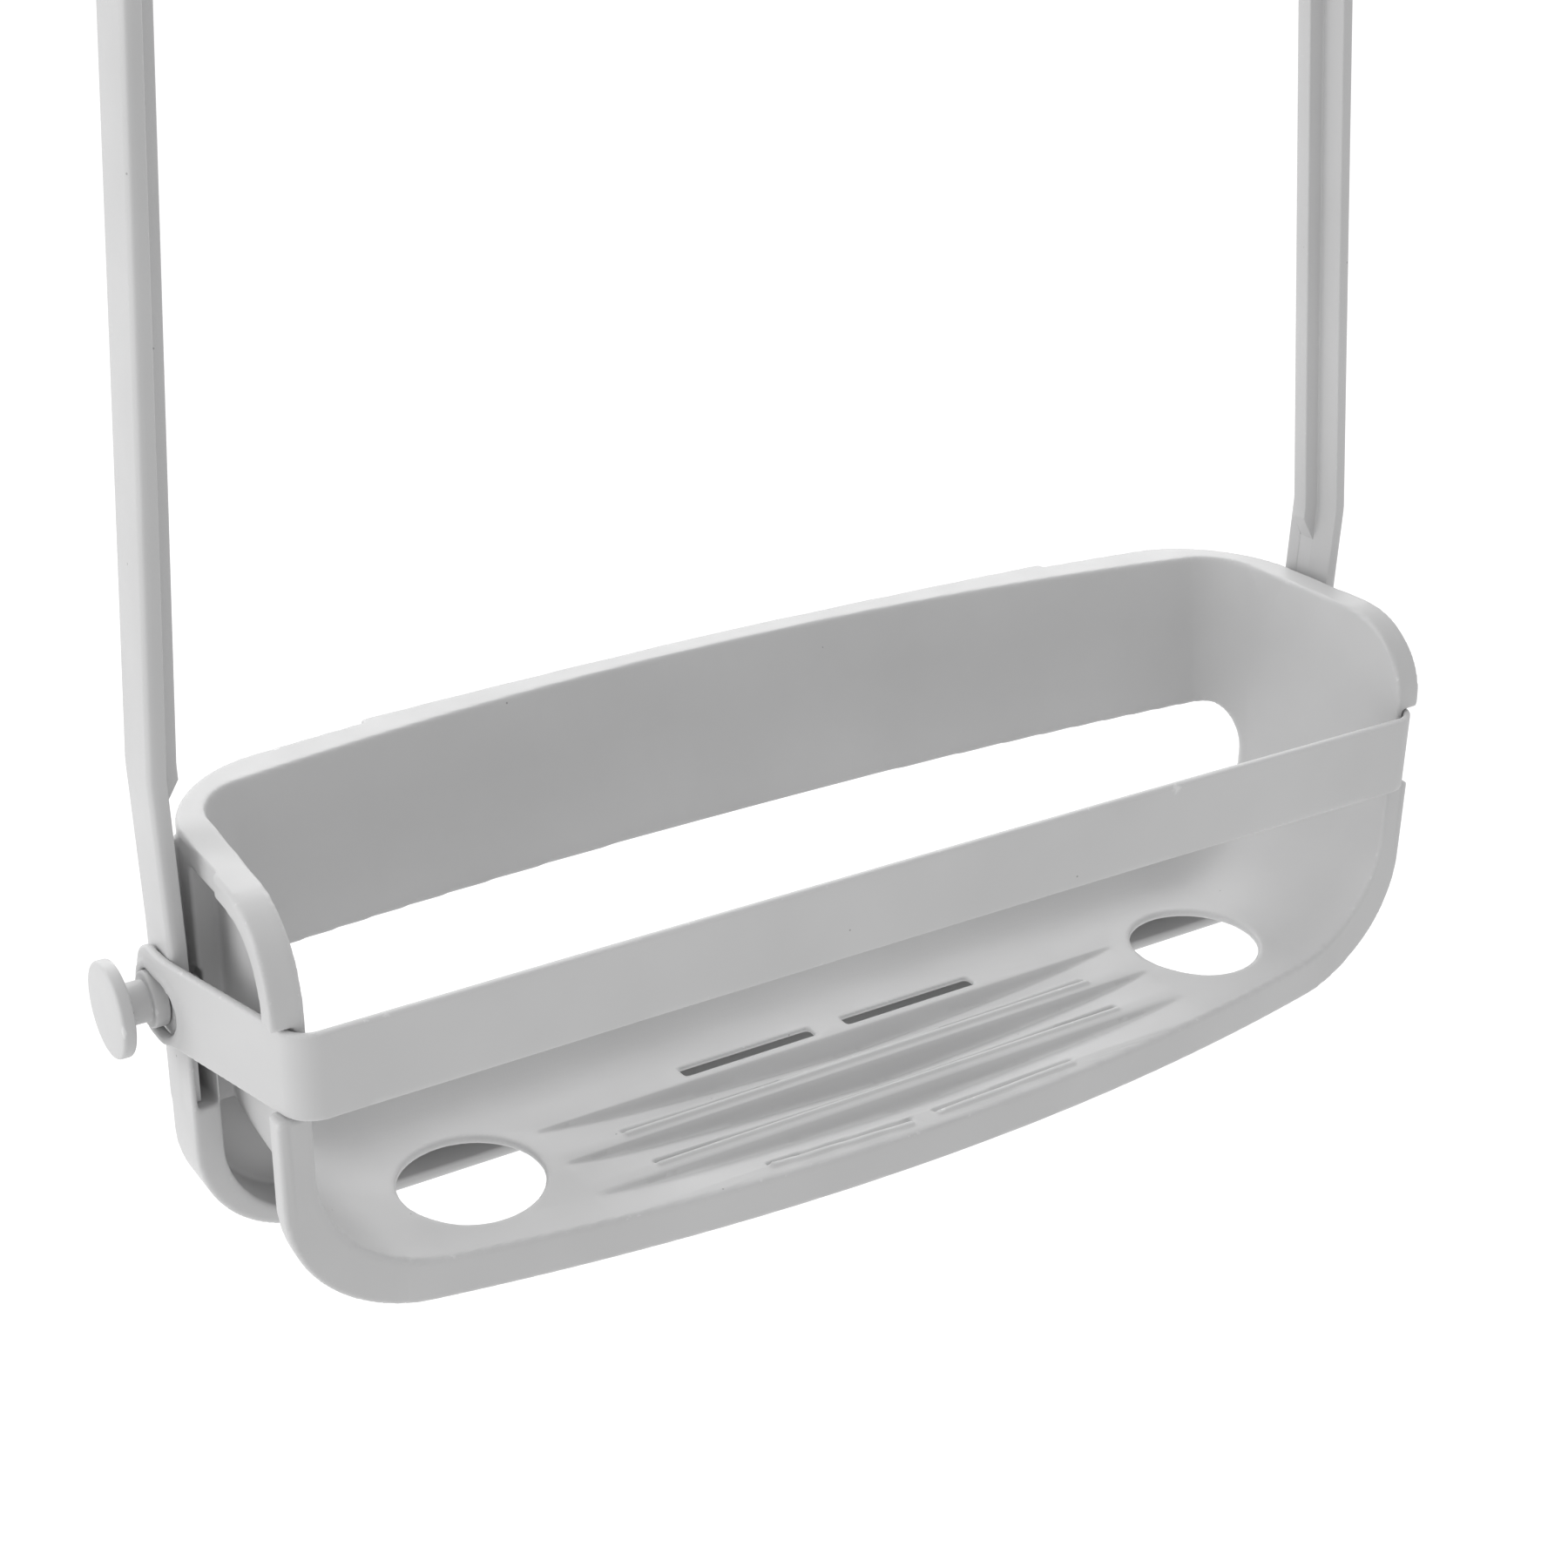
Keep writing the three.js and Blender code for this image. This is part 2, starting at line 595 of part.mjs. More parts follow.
function band(inset) {
  const half = bandHalfWidth - inset;
  const solid = toManifold(slab(bandPlan(half, armOut - inset), bandMiddle - 12, bandMiddle + 12, "XY", 6));
  const profile = new THREE.Shape();
  const endRadius = 9;
  profile.moveTo(-60, bandMiddle - bandHeight / 2);
  profile.lineTo(bandFront + bandCorner, bandMiddle - bandHeight / 2);
  profile.lineTo(knobY, knobHeight - endRadius);
  profile.absarc(knobY, knobHeight, endRadius, -Math.PI / 2, Math.PI / 2);
  profile.lineTo(bandFront + bandCorner, bandMiddle + bandHeight / 2);
  profile.lineTo(-60, bandMiddle + bandHeight / 2);
  const eyeletRadius = collarRadius + gap;
  const eyelet = new THREE.Path();
  const eyeletSlack = 4;
  eyelet.absarc(knobY, knobHeight, eyeletRadius, -Math.PI / 2, Math.PI / 2);
  eyelet.absarc(knobY - eyeletSlack, knobHeight, eyeletRadius, Math.PI / 2, Math.PI * 1.5);
  profile.holes.push(eyelet);
  return solid.intersect(toManifold(slab(profile, -220, 220, "YZ", 12)));
}

// ---- knob ----
// Turned about its own axis, disc outwards: a disc, a shaft, a collar for the band's
// eyelet and a shank with a barbed end, which passes through the arm.
function knobGeometry() {
  const profile = [
    [0, discFace], [discRadius - 0.8, discFace], [discRadius, discFace - 0.8],
    [discRadius, discFace - discThick + 0.6], [discRadius - 0.6, discFace - discThick],
    [shaftRadius + 0.5, discFace - discThick], [shaftRadius, discFace - discThick - 0.5],
    [shaftRadius, collarLength + 0.2], [collarRadius - 0.6, collarLength], [collarRadius, collarLength - 0.6],
    [collarRadius, gap], [shankRadius, gap], [shankRadius, -armRear - 0.5],
    [barbRadius, -armRear - 0.7], [barbRadius - 1.6, -armRear - 3], [0, -armRear - 3],
  ].reverse();
  const points = profile.map(([radius, out]) => new THREE.Vector2(radius, out));
  const geometry = new THREE.LatheGeometry(points, 20);
  geometry.rotateZ(-Math.PI / 2);
  return geometry;
}

// ---- the assembly ----
const greyPlastic = { color: 0xc4c4c3, roughness: 0.5, metalness: 0 };
const softPlastic = { color: 0xcacac9, roughness: 0.6, metalness: 0 };
const caddy = new THREE.Group();

function add(name, geometry, finish, parent = caddy) {
  const mesh = new THREE.Mesh(geometry, new THREE.MeshStandardMaterial(finish));
  mesh.name = name;
  parent.add(mesh);
  return mesh;
}

const rightArm = arm();
add("right_arm", toGeometry(rightArm), greyPlastic);
add("left_arm", toGeometry(rightArm.mirror([1, 0, 0])), greyPlastic);
add("hanger_hook", toGeometry(hanger()), greyPlastic);
add("hook_grip", toGeometry(grip()), softPlastic);

const levels = [["lower", 0, 0, 0], ["upper", upperInset, upperFloor, upperBack]];
for (const [level, inset, floor, back] of levels) {
  const shelf = new THREE.Group();
  shelf.position.set(0, back, floor);
  caddy.add(shelf);
  add(`${level}_tray`, toGeometry(tray(inset, level === "lower")), greyPlastic, shelf);
  add(`${level}_band`, toGeometry(band(inset)), softPlastic, shelf);
  for (const [name, side] of [["left", -1], ["right", 1]]) {
    const knob = add(`${level}_${name}_knob`, knobGeometry(), greyPlastic, shelf);
    knob.position.set(side * (armOut - inset), knobY, knobHeight);
    if (side < 0) knob.rotation.z = Math.PI;
  }
}

caddy.position.set(0, -(armFront + hangerBack + armDepth / 2), -ringHeight);
caddy.updateMatrixWorld(true);

export default caddy;
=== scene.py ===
"""Looks of the shower caddy: moulded trays, ribbon arms, elastic bands, knobs, hanger and grip."""

import math

import bmesh
import bpy
import numpy as np
from mathutils import Matrix, Vector


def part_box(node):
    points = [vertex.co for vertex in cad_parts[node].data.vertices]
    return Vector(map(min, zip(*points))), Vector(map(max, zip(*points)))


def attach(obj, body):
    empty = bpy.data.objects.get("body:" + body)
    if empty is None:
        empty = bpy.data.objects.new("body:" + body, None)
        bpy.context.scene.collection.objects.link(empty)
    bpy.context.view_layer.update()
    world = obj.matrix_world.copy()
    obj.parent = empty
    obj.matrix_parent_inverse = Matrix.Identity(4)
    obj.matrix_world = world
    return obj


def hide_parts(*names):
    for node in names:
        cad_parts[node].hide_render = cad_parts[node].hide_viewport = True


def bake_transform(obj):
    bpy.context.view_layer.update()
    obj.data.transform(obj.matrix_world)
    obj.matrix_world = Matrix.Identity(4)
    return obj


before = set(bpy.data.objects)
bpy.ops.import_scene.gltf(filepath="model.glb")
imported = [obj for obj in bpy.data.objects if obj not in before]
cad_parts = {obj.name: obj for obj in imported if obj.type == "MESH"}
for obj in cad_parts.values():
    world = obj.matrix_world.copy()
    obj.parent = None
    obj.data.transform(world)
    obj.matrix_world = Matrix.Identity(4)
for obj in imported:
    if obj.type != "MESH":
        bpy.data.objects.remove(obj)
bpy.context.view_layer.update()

MM = 0.001

# ---- places, from the frame ----
# Trays, bands, knobs and arms are drawn in millimetres from the middle of a tray's floor, and the
# hanger and grip from the middle of the ring. The front is towards -Y.
LIP_FORWARD = 33.4
CHANNEL_LOW = 13.1


def floor_centre(tray_node):
    low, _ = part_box(tray_node)
    return Vector((0, low.y + LIP_FORWARD * MM, low.z + CHANNEL_LOW * MM))


LOWER = floor_centre("lower_tray")
UPPER = floor_centre("upper_tray")
UPPER_INSET = (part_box("lower_right_knob")[1].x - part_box("upper_right_knob")[1].x) / MM
UPPER_FLOOR = (UPPER.z - LOWER.z) / MM

# ---- shared sizes, in millimetres ----
WALL = 2.2
TRAY_HEIGHT = 81.0
ARM_OUT = 154.2
ARM_FRONT = 18.8
ARM_DEPTH = 14.0
ARM_THICK = 3.7
ARM_REAR = 4.9
RIB_OUT = 8.1
ARM_BEND = 98.0
ARM_SPREAD = 0.9
RAIL_OUT = 152.3
RAIL_LOW = 12.0
SOCKET_TOP = 39.0
GAP = 0.3
KNOB_Y = 26.2
KNOB_HEIGHT = 47.8
BAND_MIDDLE = 49.7
BAND_HALF_HEIGHT = 9.7
BAND_THICK = 1.8
UPPER_BEND = UPPER_FLOOR + 23.5


# ---- signed distances: negative inside, and r rounds the edge where two of them meet ----
def both(a, b, r=0.0):
    u = np.maximum(a + r, 0)
    v = np.maximum(b + r, 0)
    return np.minimum(np.maximum(a, b), -r) + np.sqrt(u * u + v * v)


def either(a, b, r=0.0):
    return -both(-a, -b, r)


def without(a, b, r=0.0):
    return both(a, -b, r)


def between(value, low, high):
    return np.abs(value - (low + high) / 2) - (high - low) / 2


def rounded_box(u, v, half_u, half_v, r):
    return both(np.abs(u) - half_u, np.abs(v) - half_v, r)


def soft_min(a, b, k):
    h = np.clip(0.5 + 0.5 * (b - a) / k, 0, 1)
    return b * (1 - h) + a * h - k * h * (1 - h)


def capsule(u, v, start, end, v_start, v_end, radius):
    """Distance to a round-ended slot between two points."""
    du = end - start
    dv = v_end - v_start
    t = np.clip(((u - start) * du + (v - v_start) * dv) / (du * du + dv * dv), 0, 1)
    return np.sqrt((u - start - t * du) ** 2 + (v - v_start - t * dv) ** 2) - radius


class Grid:
    """A block of points. With mirrored=True only its right half is worked out."""

    def __init__(self, low, high, step, mirrored):
        self.step = step
        self.mirrored = mirrored
        first = 0.0 if mirrored else low[0]
        self.x = np.arange(first, high[0] + step, step, dtype=np.float32)[:, None, None]
        self.y = np.arange(low[1], high[1] + step, step, dtype=np.float32)[None, :, None]
        self.z = np.arange(low[2], high[2] + step, step, dtype=np.float32)[None, None, :]

    def whole(self, values):
        """The full block of distances, and its x values."""
        shape = (self.x.size, self.y.size, self.z.size)
        values = np.broadcast_to(values, shape)
        if not self.mirrored:
            return np.array(values), self.x
        full_x = np.concatenate([-self.x[:0:-1], self.x])
        return np.concatenate([values[:0:-1], values]), full_x


def surface(values, origin, step):
    """Vertices and quads of the zero surface, one vertex in each cell that it crosses."""
    inside = values < 0
    corners = [(i, j, k) for i in (0, 1) for j in (0, 1) for k in (0, 1)]
    nx, ny, nz = (n - 1 for n in values.shape)
    count = np.zeros((nx, ny, nz), np.uint8)
    for i, j, k in corners:
        count += inside[i:nx + i, j:ny + j, k:nz + k]
    active = (count > 0) & (count < 8)
    cells = np.argwhere(active)
    number = np.full(active.shape, -1, np.int32)
    number[active] = np.arange(len(cells))
    total = np.zeros((len(cells), 3))
    hits = np.zeros(len(cells))
    for axis in range(3):
        unit = np.eye(3, dtype=int)[axis]
        for corner in corners:
            if corner[axis]:
                continue
            start = cells + corner
            a = values[tuple(start.T)]
            b = values[tuple((start + unit).T)]
            crossed = (a < 0) != (b < 0)
            t = a[crossed] / (a[crossed] - b[crossed])
            total[crossed] += np.array(corner) + t[:, None] * unit
            hits[crossed] += 1
    points = origin + step * (cells + total / hits[:, None])
    quads = []
    for axis in range(3):
        u = np.eye(3, dtype=int)[(axis + 1) % 3]
        v = np.eye(3, dtype=int)[(axis + 2) % 3]
        a = np.moveaxis(inside, axis, 0)
        changed = np.moveaxis(a[:-1] != a[1:], 0, axis)
        edges = np.argwhere(changed)
        edges = edges[np.all(edges >= u + v, axis=1)]
        edges = edges[np.all(edges + u + v < np.array(values.shape), axis=1)]
        around = [number[tuple((edges - shift).T)] for shift in (u + v, v, 0 * u, u)]
        ring = np.stack(around, 1)
        outward = inside[tuple(edges.T)]
        quads.append(ring[outward])
        quads.append(ring[~outward][:, ::-1])
    return points, np.concatenate(quads)


def new_object(name, points, faces, centre):
    """A smooth mesh object from millimetre points around a floor centre."""
    mesh = bpy.data.meshes.new(name)
    points = np.asarray(points, float) * MM + np.array(centre)
    faces = np.asarray(faces)
    mesh.vertices.add(len(points))
    mesh.vertices.foreach_set("co", points.astype(np.float32).ravel())
    mesh.loops.add(faces.size)
    mesh.loops.foreach_set("vertex_index", faces.astype(np.int32).ravel())
    mesh.polygons.add(len(faces))
    mesh.polygons.foreach_set("loop_start", np.arange(len(faces), dtype=np.int32) * faces.shape[1])
    mesh.update(calc_edges=True)
    mesh.validate()
    mesh.shade_smooth()
    obj = bpy.data.objects.new(name, mesh)
    bpy.context.scene.collection.objects.link(obj)
    return obj


def moulded(name, grid, values, centre, keep, carve=None):
    """A solid piece from signed distances, thinned to a share of its faces."""
    values, x = grid.whole(values)
    if carve is not None:
        values = carve(values, x, grid.y, grid.z)
    origin = np.array([x.min(), grid.y.min(), grid.z.min()])
    points, quads = surface(values, origin, grid.step)
    obj = new_object(name, points, quads, centre)
    thin = obj.modifiers.new("thin", "DECIMATE")
    thin.ratio = keep
    bpy.context.view_layer.update()
    evaluated = obj.evaluated_get(bpy.context.evaluated_depsgraph_get())
    final = bpy.data.meshes.new_from_object(evaluated)
    obj.modifiers.clear()
    obj.data = final
    final.name = name
    final.shade_smooth()
    return obj


# ---- trays ----
HOLLOW_HALF = ARM_OUT - 14.7
FLARE = 0.055
LEAN = 0.319
BACK_AT_FLOOR = 32.5
BACK_BOW = 4.0
BACK_BOW_GROWTH = 0.093
WINDOW_HEIGHT = 43.0
SIDE_TURN = 26
BACK_TURN = 10
APRON_START = -8
APRON_SLOPE = 0.05
RIM_THICK = 5.5
RIM_HALF = 146.9
RIM_FLARE = 0.05
RIM_BACK = 64.7
RIM_BOW = 5.46
RIM_LOW_TURN = 30
RIM_BACK_TURN = 25
LEDGE_BACK = 64.4
LEDGE_BOW = 3.2
LEDGE_HALF = 93
LIP_DROP = 10.8
FRONT_PLANE = -18.5
FRONT_MIDDLE = -33.4
FRONT_BOW = 8.3
MOUTH_TURN = 20.0
RAIL_WIDE = 6.1
RAIL_FLOOR = 2.7
RAIL_TURN = 25
RAIL_INNER_TURN = 22
WEB_THICK = 2
DENT_HALF = 81.0
DENT_BLUNT = 8
FACE_SLOPE = 1.73
# each dent's ridge in front of which it drops, where its ramp ends, and its depth
DENTS = [(8.7, -1.6, 4.9), (-5.2, -15.0, 4.9), (-18.4, -27.5, 3.6)]


def front_edge(x):
    """Plan of the rim's front: bowed in the middle, straight towards the corners."""
    bowed = FRONT_MIDDLE + FRONT_BOW * (x / 100) ** 2
    return soft_min(bowed, FRONT_PLANE + 0 * x, 3.0)


def dent(x, y, ridge, ramp_end, deepest):
    """Depth of a leaf-shaped dent: a steep face under the ridge, then a ramp up to the front."""
    share = np.clip(1 - np.sqrt(x * x + DENT_BLUNT ** 2) / DENT_HALF, 0, 1) ** 0.6
    depth = deepest * share
    bottom = ridge - depth / FACE_SLOPE
    face = FACE_SLOPE * (ridge - y)
    ramp = depth * (y - ramp_end) / (bottom - ramp_end)
    return np.maximum(soft_min(face, ramp, 0.35), 0)


def floor_level(x, y):
    level = -APRON_SLOPE * np.maximum(APRON_START - y, 0)
    for ridge, ramp_end, deepest in DENTS:
        level = level - dent(x, y, ridge, ramp_end, deepest)
    return level


def hollow(x, y, z, inset):
    """The tray's inside: floor, leaning bowed back and flared sides."""
    side = x - (HOLLOW_HALF - inset) - FLARE * (ARM_FRONT - y)
    floor = floor_level(x, y) - z
    across = x * HOLLOW_HALF / (HOLLOW_HALF - inset) / 100
    bow = BACK_BOW + BACK_BOW_GROWTH * (z - WINDOW_HEIGHT)
    back = y - (BACK_AT_FLOOR + LEAN * z - bow * across ** 2)
    back = back / math.hypot(1, LEAN)
    return both(both(floor, side, SIDE_TURN), back, BACK_TURN)


def rim_outline(x, y, z, inset):
    """Outside of the flange that runs round the mouth."""
    side = x - (RIM_HALF - inset) - RIM_FLARE * (ARM_FRONT - y)
    across = x * RIM_HALF / (RIM_HALF - inset)
    back = y - (RIM_BACK - RIM_BOW * (across / 100) ** 2)
    ledge = both(y - (LEDGE_BACK - LEDGE_BOW * (across / 100) ** 2), across - LEDGE_HALF, 0.6)
    return both(both(side, -LIP_DROP - z, RIM_LOW_TURN), either(back, ledge), RIM_BACK_TURN)


def channel(x, y, z, inset, arms_end_here):
    """The rail behind and under the tray, and the web at its rear."""
    outer = RAIL_OUT - inset
    if not arms_end_here:
        outer = ARM_OUT - inset - ARM_REAR - GAP
    outside = both(x - outer, -RAIL_LOW - z, RAIL_TURN)
    inside = both(x - (outer - RAIL_WIDE), RAIL_FLOOR - RAIL_LOW - z, RAIL_INNER_TURN)
    back = ARM_FRONT + ARM_DEPTH
    rail = both(without(outside, inside), between(y, ARM_FRONT + 0.6, back), 0.8)
    rail = both(rail, z - SOCKET_TOP, 0.6)
    web = both(outside + 1.5, between(y, back - WEB_THICK, back), 0.6)
    web = both(web, z - (TRAY_HEIGHT - 2))
    return rail, web


# ---- the arms' sockets, and the openings in a tray ----
BLOCK_INNER = 136
BLOCK_LOW = 20
BLOCK_FRONT = 25
TONGUE_FOOT = 23.2
POCKET_IN = 7.6
POCKET_OUT = 3.2
SHANK_ROOM = 4.4
SHANK_DEPTH = 3.6
NOTCH_HALF = 146.2
NOTCH_FRONT = 20.0
NOTCH_LOW = 39.6
NOTCH_HIGH = 59.8
WINDOW_END = 144.2
WINDOW_MIDDLE = 28.5
WINDOW_HALF_HEIGHT = 14.5
WINDOW_TURN = 13
WINDOW_WRAP = 0.8
HOLE_PLACE = 100
HOLE_RADIUS = 15.8


def add_sockets(solid, x, y, z, inset):
    """Blocks at the tray's rear corners, cut for the arms, their tongues and the knobs' shanks."""
    outer = ARM_OUT - inset
    block = both(between(x, BLOCK_INNER, RAIL_OUT), between(z, BLOCK_LOW, TRAY_HEIGHT - 3))
    block = both(block, between(y, BLOCK_FRONT, ARM_FRONT + ARM_DEPTH), 0.5)
    solid = either(solid, block, 0.5)
    arm_space = both(outer - ARM_REAR - GAP - x, SOCKET_TOP - z)
    pocket = both(between(x, outer - POCKET_IN, outer - POCKET_OUT), TONGUE_FOOT - z)
    pocket = both(pocket, between(y, 10, ARM_FRONT + 12))
    shank_room = np.sqrt((y - KNOB_Y) ** 2 + (z - KNOB_HEIGHT) ** 2) - SHANK_ROOM
    shank_room = both(shank_room, outer - ARM_REAR - SHANK_DEPTH - x)
    pocket = either(pocket, shank_room)
    return without(without(solid, arm_space, 0.3), pocket, 0.3)


def band_notch(x, y, z, inset):
    """Room for the band round the front of the rim."""
    half = NOTCH_HALF - BAND_THICK - GAP - inset
    kept = both(x - half, -NOTCH_FRONT - y, 3.2)
    return both(both(-kept, between(z, NOTCH_LOW, NOTCH_HIGH), 0.3), y - 4)


def back_window(x, y, z, inset):
    """The back wall's opening, whose ends follow the wall round its corners."""
    around = x + WINDOW_WRAP * (38 - y)
    window = rounded_box(around, z - WINDOW_MIDDLE, WINDOW_END - inset, WINDOW_HALF_HEIGHT, WINDOW_TURN)
    return both(window, 20 - y)


def floor_hole(x, y, z, inset):
    place = HOLE_PLACE - 0.6 * inset
    hole = np.sqrt((x - place) ** 2 + y * y) - HOLE_RADIUS
    return both(hole, between(z, -8, 8))


def tray_distance(x, y, z, inset, arms_end_here):
    inner = hollow(x, y, z, inset)
    mouth = both(z - TRAY_HEIGHT, front_edge(x) - y, MOUTH_TURN)
    skin = both(inner - WALL, mouth + 0.8)
    rim = both(mouth, rim_outline(x, y, z, inset), 0.9)
    rim = both(rim, -(mouth + RIM_THICK), 0.8)
    solid = either(skin, rim, 1.0)
    rail, web = channel(x, y, z, inset, arms_end_here)
    solid = either(solid, either(rail, web, 0.8), 0.8)
    if arms_end_here:
        solid = add_sockets(solid, x, y, z, inset)
    solid = both(solid, -inner, 0.7)
    solid = without(solid, band_notch(x, y, z, inset), 0.5)
    solid = without(solid, back_window(x, y, z, inset), 0.7)
    return without(solid, floor_hole(x, y, z, inset), 1.0)


# from one end to the other of each slot, all in one row
SLOTS = [(-40.5, -5.0), (3.6, 40.6)]
SLOT_ROW = 13.1
SLOT_HALF_WIDTH = 1.9
# each groove's two ends, and how far back it lies at each of them
GROOVES = [
    (-63.5, 63.5, -1.0, -1.0),
    (-62.8, 62.8, -14.2, -14.2),
    (-42.0, -7.0, -26.5, -28.5),
    (0.8, 39.2, -28.1, -27.0),
]
GROOVE_RADIUS = 0.75
GROOVE_DEPTH = 1.2
BEAD_RADIUS = 0.7
BEAD_HEIGHT = 0.7


def carve_slots(values, x, y, z):
    """The floor's drain slots, and the fine groove and bead at each ridge. They aren't quite symmetrical."""
    low = int(np.argmax(z.ravel() > -8))
    high = int(np.argmax(z.ravel() > 4))
    part = values[:, :, low:high]
    z = z[:, :, low:high]
    thin = both(both(np.abs(x) - 46, between(y, 9, 17)), z + 1.5)
    part = without(part, thin)
    for start, end in SLOTS:
        middle = (start + end) / 2
        slot = rounded_box(x - middle, y - SLOT_ROW, (end - start) / 2, SLOT_HALF_WIDTH, 0.8)
        part = without(part, slot, 0.3)
    level = floor_level(x, y)
    for start, end, v_start, v_end in GROOVES:
        cut = capsule(x, y, start, end, v_start, v_end, GROOVE_RADIUS)
        part = without(part, both(cut, level - GROOVE_DEPTH - z), 0.2)
        bead = capsule(x, y, start, end, v_start - 1.5, v_end - 1.5, BEAD_RADIUS)
        bead = both(bead, z - level - BEAD_HEIGHT, 0.4)
        part = either(part, both(bead, level - 1.0 - z), 0.2)
    values[:, :, low:high] = part
    return values


def make_tray(level, inset, centre, arms_end_here):
    grid = Grid((0, -36, -15), (157 - inset, 68, 83), 0.7, mirrored=True)
    values = tray_distance(grid.x, grid.y, grid.z, inset, arms_end_here)
    return moulded(f"{level}_tray_moulding", grid, values, centre, 0.3, carve_slots)


# ---- bands ----
BAND_CORNER_HALF = 146.0
BAND_CORNER_Y = 15.9
BAND_TAPER = 0.2545
BAND_FRONT = 21.2
BAND_BOW = 0.8
BAND_CORNER_TURN = 4.5
BAND_END = 8
BAND_END_TURN = 8.8
EYELET_RADIUS = 6.3
EYELET_REACH = 4
EYELET_SIDE = 100


def band_distance(x, y, z, inset):
    """A strip round the front, with a rounded end and a beaded eyelet at each knob."""
    outer = ARM_OUT - inset + GAP + BAND_THICK / 2
    side_x = BAND_CORNER_HALF - inset + BAND_TAPER * (y + BAND_CORNER_Y)
    side_x = soft_min(side_x, outer + 0 * y, 0.8)
    slope = np.gradient(side_x, axis=1) / np.gradient(y, axis=1)
    side = (x - side_x) / np.sqrt(1 + slope ** 2)
    front = -(y + BAND_FRONT - BAND_BOW * np.clip(1 - (x / 140) ** 2, 0, 1))
    sheet = np.abs(both(side, front, BAND_CORNER_TURN)) - BAND_THICK / 2
    edge = both(y - (KNOB_Y + BAND_END), np.abs(z - BAND_MIDDLE) - BAND_HALF_HEIGHT, BAND_END_TURN)
    eyelet = capsule(y, z, KNOB_Y - EYELET_REACH, KNOB_Y, KNOB_HEIGHT, KNOB_HEIGHT, EYELET_RADIUS)
    bead = both(np.abs(eyelet - 1.0) - 0.9, x - side_x - BAND_THICK / 2 - 0.5, 0.4)
    bead = both(bead, side_x - x)
    eyelet = both(eyelet, EYELET_SIDE - x)
    strip = both(sheet, edge, 0.45)
    strip = either(strip, both(bead, EYELET_SIDE - x), 0.3)
    return without(strip, eyelet, 0.4)


def make_band(level, inset, centre):
    grid = Grid((0, -25, 38), (159 - inset, 37, 62), 0.5, mirrored=True)
    values = band_distance(grid.x, grid.y, grid.z, inset)
    return moulded(f"{level}_band_strip", grid, values, centre, 0.35)


# ---- hanger and grip ----
NECK_TOP = 588.0
NECK_HALF = 13.0
RING_HEIGHT = -LOWER.z / MM
RING_INNER = 14.5
GRIP_THICK = 3.0
RING_THICK = 5.0
RING_OPENING = 0.62
GRIP_RIBS = 36


def wedge(x, z, half_angle):
    """Distance into the opening at the bottom of the ring."""
    return x * math.cos(half_angle) + z * math.sin(half_angle)


def hanger_distance(x, y, z):
    radius = np.sqrt(x * x + z * z)
    low = RING_INNER + GRIP_THICK + GAP
    ring = between(radius, low, low + RING_THICK)
    ring = without(ring, wedge(x, z, RING_OPENING), 0.5)
    leg_inner = NECK_HALF - ARM_REAR - 2.6
    leg_height = between(z, NECK_TOP + GAP - RING_HEIGHT, -low + 2)
    leg = both(between(x, leg_inner, NECK_HALF + 0.6), leg_height)
    tongue = both(
        between(x, leg_inner, NECK_HALF - ARM_REAR - GAP),
        between(z, NECK_TOP - 22 - RING_HEIGHT, NECK_TOP + 4 - RING_HEIGHT),
    )
    flat = either(either(ring, leg, 3.0), tongue, 0.5)
    return both(flat, np.abs(y) - ARM_DEPTH / 2, 1.0)


def grip_distance(x, y, z):
    radius = np.sqrt(x * x + z * z)
    ribs = 0.3 * np.cos(GRIP_RIBS * np.arctan2(x, z))
    ring = both(radius - (RING_INNER + GRIP_THICK), RING_INNER + 0.3 + ribs * 0.9 - radius, 0.7)
    ring = without(ring, wedge(x, z, RING_OPENING + 0.1), 0.7)
    return both(ring, np.abs(y) - ARM_DEPTH / 2 - 1, 0.8)


# ---- arms ----
RIB_BASE = 4.15
RIB_START = 88.5
ARM_LEAN = 0.05
SPREAD_START = 62
NECK_BOW = 75
NECK_STEPS = 30
RIB_STEPS = 25
TONGUE_INNER = 3.5
TONGUE_FRONT = 3.4
TONGUE_BACK = 11.6
TONGUE_LOW = 23.5


def rounded_outline(corners, radius, steps=4):
    """A closed outline with each corner turned into a small arc."""
    result = []
    count = len(corners)
    for i, corner in enumerate(corners):
        here = Vector(corner)
        before = Vector(corners[i - 1]) - here
        after = Vector(corners[(i + 1) % count]) - here
        cut = min(radius, 0.45 * before.length, 0.45 * after.length)
        start = here + before.normalized() * cut
        end = here + after.normalized() * cut
        for k in range(steps + 1):
            t = k / steps
            result.append((1 - t) ** 2 * start + 2 * t * (1 - t) * here + t * t * end)
    return result


def arm_section(rib):
    """[inwards, back] outline of an arm: a flat ribbon with a rib, which runs from 0, none, to 1."""
    out = RIB_BASE + (RIB_OUT - RIB_BASE) * max(rib, 0.01)
    outer_edge = [(0.3, ARM_DEPTH), (0, 1.4), (0.6, 0.3), (1.6, 0)]
    inner_face = [(ARM_THICK, 0), (RIB_BASE, 6.1)]
    rib_face = [(out, 6.3), (out, 10.5)]
    rear = [(RIB_BASE + 0.2, 10.7), (ARM_REAR, ARM_DEPTH)]
    corners = outer_edge[1:] + inner_face + rib_face + rear + outer_edge[:1]
    return rounded_outline(corners, 0.5)


def lean_at(height):
    """How far back an arm has leant: it leans between the trays, and again above the upper one."""
    first = min(max(height - ARM_BEND, 0), UPPER_BEND - ARM_BEND)
    second = max(height - UPPER_FLOOR - ARM_BEND, 0)
    return ARM_LEAN * (first + second)


